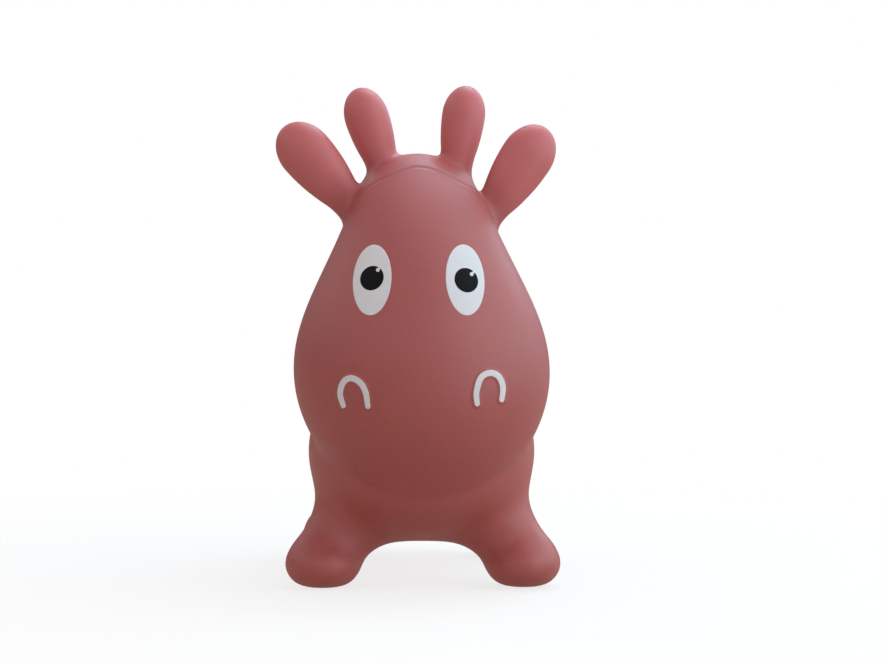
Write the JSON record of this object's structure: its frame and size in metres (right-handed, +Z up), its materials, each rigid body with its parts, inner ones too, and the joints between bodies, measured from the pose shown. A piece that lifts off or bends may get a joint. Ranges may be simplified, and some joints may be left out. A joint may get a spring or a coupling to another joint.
{
  "type": "inflatable ride-on hopping animal",
  "caption": "Soft air-filled ride-on hopping animal with a big pear-shaped face, horns, lobed ears, splayed legs and a push-in air valve at the rear.",
  "frame": {"origin": "middle of the footprint, on the floor", "axes": "+Z up; -Y the way the animal faces; +X to its own left"},
  "size_m": [0.3128, 0.5618, 0.5501],
  "materials": {
    "skin": "matte dusty-rose soft PVC with a faint satin sheen",
    "valve_seat": "same soft PVC, a little smoother",
    "valve_plug": "off-white soft plastic",
    "eye_white": "matte white print",
    "pupil": "satin black print",
    "nostril": "matte off-white print"
  },
  "bodies": {
    "torso": {"torso": "skin", "neck_fold": "skin", "front_leg_root_left": "skin", "front_leg_root_right": "skin", "rear_leg_root_left": "skin", "rear_leg_root_right": "skin", "tail_root": "skin", "valve_seat": "valve_seat"},
    "head": {"head": "skin", "ear_root_left": "skin", "ear_root_right": "skin", "horn_root_left": "skin", "horn_root_right": "skin", "eye_white_left": "eye_white", "eye_white_right": "eye_white", "pupil_left": "pupil", "pupil_right": "pupil", "eye_glint_left": "eye_white", "eye_glint_right": "eye_white", "nostril_left": "nostril", "nostril_right": "nostril"},
    "ear_left": {"ear_left": "skin"},
    "ear_right": {"ear_right": "skin"},
    "horn_left": {"horn_left": "skin"},
    "horn_right": {"horn_right": "skin"},
    "front_leg_left": {"front_leg_left": "skin"},
    "front_leg_right": {"front_leg_right": "skin"},
    "rear_leg_left": {"rear_leg_left": "skin"},
    "rear_leg_right": {"rear_leg_right": "skin"},
    "tail": {"tail": "skin"},
    "valve_plug": {"valve_plug": "valve_plug"}
  },
  "joints": [
    {"name": "head_nod", "type": "hinge", "parent": "torso", "child": "head", "pos_m": [0.0043, -0.0823, 0.205], "axis": [1, 0, 0], "range_deg": [-5, 6], "stiffness_Nm_per_rad": 60, "deforming": ["neck_fold"]},
    {"name": "ear_left_flap", "type": "hinge", "parent": "head", "child": "ear_left", "pos_m": [0.09353, -0.10906, 0.43], "axis": [0.8354, 0, -0.5497], "range_deg": [-18, 18], "stiffness_Nm_per_rad": 0.8, "deforming": ["ear_root_left"]},
    {"name": "ear_right_flap", "type": "hinge", "parent": "head", "child": "ear_right", "pos_m": [-0.08752, -0.10921, 0.43466], "axis": [0.7519, 0, 0.6593], "range_deg": [-18, 18], "stiffness_Nm_per_rad": 0.8, "deforming": ["ear_root_right"]},
    {"name": "horn_left_bend", "type": "hinge", "parent": "head", "child": "horn_left", "pos_m": [0.04676, -0.08325, 0.48742], "axis": [1, 0, 0], "range_deg": [-15, 15], "stiffness_Nm_per_rad": 0.8, "deforming": ["horn_root_left"]},
    {"name": "horn_right_bend", "type": "hinge", "parent": "head", "child": "horn_right", "pos_m": [-0.04652, -0.08332, 0.48586], "axis": [1, 0, 0], "range_deg": [-15, 15], "stiffness_Nm_per_rad": 0.8, "deforming": ["horn_root_right"]},
    {"name": "front_leg_left_splay", "type": "hinge", "parent": "torso", "child": "front_leg_left", "pos_m": [0.08912, -0.13155, 0.06086], "axis": [0, -1, 0], "range_deg": [-4, 7], "stiffness_Nm_per_rad": 25, "deforming": ["front_leg_root_left"]},
    {"name": "front_leg_right_splay", "type": "hinge", "parent": "torso", "child": "front_leg_right", "pos_m": [-0.08052, -0.13155, 0.06086], "axis": [0, 1, 0], "range_deg": [-4, 7], "stiffness_Nm_per_rad": 25, "deforming": ["front_leg_root_right"]},
    {"name": "rear_leg_left_splay", "type": "hinge", "parent": "torso", "child": "rear_leg_left", "pos_m": [0.08462, 0.1497, 0.0608], "axis": [0, -1, 0], "range_deg": [-4, 7], "stiffness_Nm_per_rad": 25, "deforming": ["rear_leg_root_left"]},
    {"name": "rear_leg_right_splay", "type": "hinge", "parent": "torso", "child": "rear_leg_right", "pos_m": [-0.07602, 0.1497, 0.0608], "axis": [0, 1, 0], "range_deg": [-4, 7], "stiffness_Nm_per_rad": 25, "deforming": ["rear_leg_root_right"]},
    {"name": "tail_flick", "type": "hinge", "parent": "torso", "child": "tail", "pos_m": [0.0043, 0.24286, 0.24316], "axis": [1, 0, 0], "range_deg": [-10, 20], "stiffness_Nm_per_rad": 0.4, "deforming": ["tail_root"]},
    {"name": "valve_plug_pull", "type": "slide", "parent": "torso", "child": "valve_plug", "axis": [0, 1, 0], "range_m": [0, 0.02]}
  ]
}
